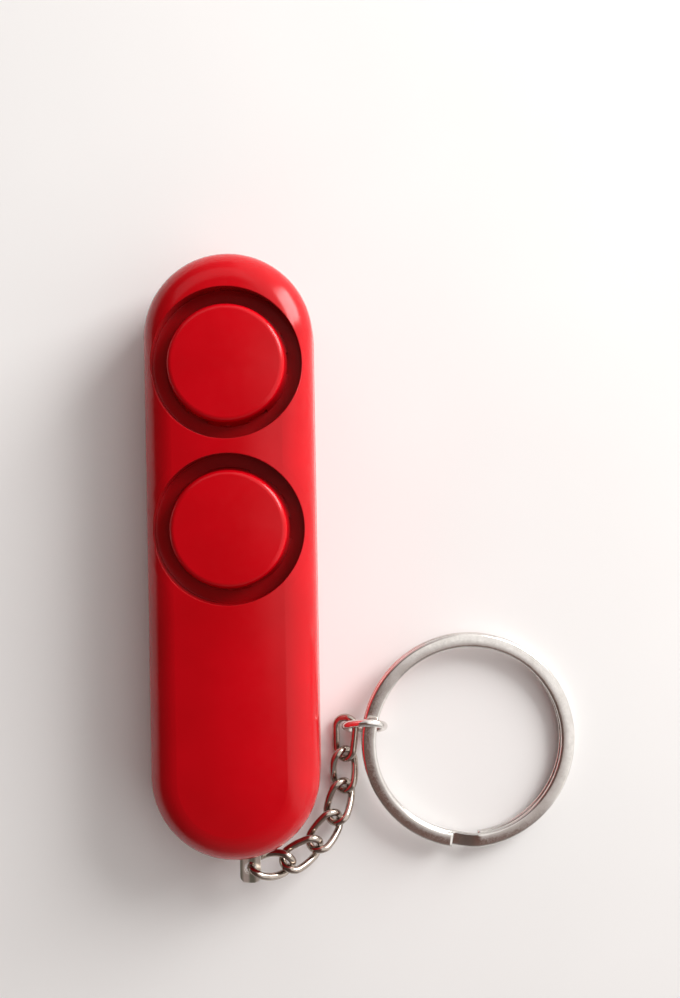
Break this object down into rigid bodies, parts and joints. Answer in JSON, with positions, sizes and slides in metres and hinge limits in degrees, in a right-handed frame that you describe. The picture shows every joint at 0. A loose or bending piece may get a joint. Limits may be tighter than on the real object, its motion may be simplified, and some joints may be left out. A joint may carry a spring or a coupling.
{
  "type": "personal safety alarm",
  "caption": "Capsule-shaped red personal alarm with round sounder ports and a pull pin on a twisted curb chain that ends in a split key ring.",
  "frame": {"origin": "centre of the flat back face of the case", "axes": "+Y along the case towards the sounder end, +Z out of the front face, +X to the right seen from the front; the alarm lies on its back"},
  "size_m": [0.062, 0.0905, 0.015],
  "materials": {
    "red_case": "glossy moulded red",
    "screw_steel": "zinc plated",
    "brass_plate": "bright rolled strip",
    "ceramic_disc": "fired, silvered",
    "lead_sleeve": "extruded sleeve",
    "board": "solder resist",
    "ferrite": "matt ferrite",
    "copper": "enamelled wire",
    "resin": "matt black resin",
    "resistor_body": "lacquered",
    "capacitor_sleeve": "shrunk sleeve",
    "cell_steel": "nickel plated can",
    "tab_steel": "stamped steel",
    "black_plastic": "moulded black",
    "nickel": "bright nickel plate"
  },
  "bodies": {
    "case": {"front_shell": "red_case", "rear_shell": "red_case", "battery_door": "red_case", "sounder_cap_upper": "red_case", "sounder_cap_lower": "red_case", "door_screw": "screw_steel", "case_screws": "screw_steel", "piezo_plate_upper": "brass_plate", "piezo_plate_lower": "brass_plate", "battery_contact_positive": "brass_plate", "battery_contact_negative": "brass_plate", "switch_contact_upper": "brass_plate", "switch_contact_lower": "brass_plate", "piezo_ceramic_upper": "ceramic_disc", "piezo_ceramic_lower": "ceramic_disc", "piezo_leads_upper": "lead_sleeve", "piezo_leads_lower": "lead_sleeve", "switch_lead": "lead_sleeve", "circuit_board": "board", "transformer_core": "ferrite", "transformer_winding": "copper", "controller_blob": "resin", "drive_transistor": "resin", "switch_base": "resin", "resistors": "resistor_body", "capacitor": "capacitor_sleeve", "button_cell_1": "cell_steel", "button_cell_2": "cell_steel", "button_cell_3": "cell_steel"},
    "pull_pin": {"pull_tab": "tab_steel", "pin_tongue": "black_plastic"},
    "connector": {"connector_link": "nickel"},
    "key_ring": {"split_ring": "nickel"},
    "link_1": {"chain_link_1": "nickel"},
    "link_2": {"chain_link_2": "nickel"},
    "link_3": {"chain_link_3": "nickel"},
    "link_4": {"chain_link_4": "nickel"},
    "link_5": {"chain_link_5": "nickel"},
    "link_6": {"chain_link_6": "nickel"}
  },
  "joints": [
    {"name": "pin_pull", "type": "slide", "parent": "case", "child": "pull_pin", "axis": [0, -1, 0], "range_m": [0, 0.012]},
    {"name": "link_1_swing", "type": "hinge", "parent": "pull_pin", "child": "link_1", "pos_m": [0.0016, -0.0454, 0.0067], "axis": [0, 0, 1], "range_deg": [-45, 0]},
    {"name": "link_2_swing", "type": "hinge", "parent": "link_1", "child": "link_2", "pos_m": [0.00702, -0.04502, 0.00584], "axis": [0, 0, 1], "range_deg": [-30, 2]},
    {"name": "link_3_swing", "type": "hinge", "parent": "link_2", "child": "link_3", "pos_m": [0.01104, -0.04301, 0.00416], "axis": [0, 0, 1], "range_deg": [-30, 2]},
    {"name": "link_4_swing", "type": "hinge", "parent": "link_3", "child": "link_4", "pos_m": [0.01395, -0.03962, 0.00241], "axis": [0, 0, 1], "range_deg": [-30, 2]},
    {"name": "link_5_swing", "type": "hinge", "parent": "link_4", "child": "link_5", "pos_m": [0.01532, -0.03511, 0.00149], "axis": [0, 0, 1], "range_deg": [-25, 3]},
    {"name": "link_6_swing", "type": "hinge", "parent": "link_5", "child": "link_6", "pos_m": [0.01549, -0.03031, 0.00149], "axis": [0, 0, 1], "range_deg": [-20, 4]},
    {"name": "connector_swing", "type": "hinge", "parent": "link_6", "child": "connector", "pos_m": [0.01608, -0.02643, 0.0017], "axis": [0, 0, 1], "range_deg": [-8, 10]},
    {"name": "ring_lift", "type": "hinge", "parent": "connector", "child": "key_ring", "pos_m": [0.01933, -0.02591, 0.00318], "axis": [0.1668, 0.986, 0], "range_deg": [-90, 0]}
  ]
}
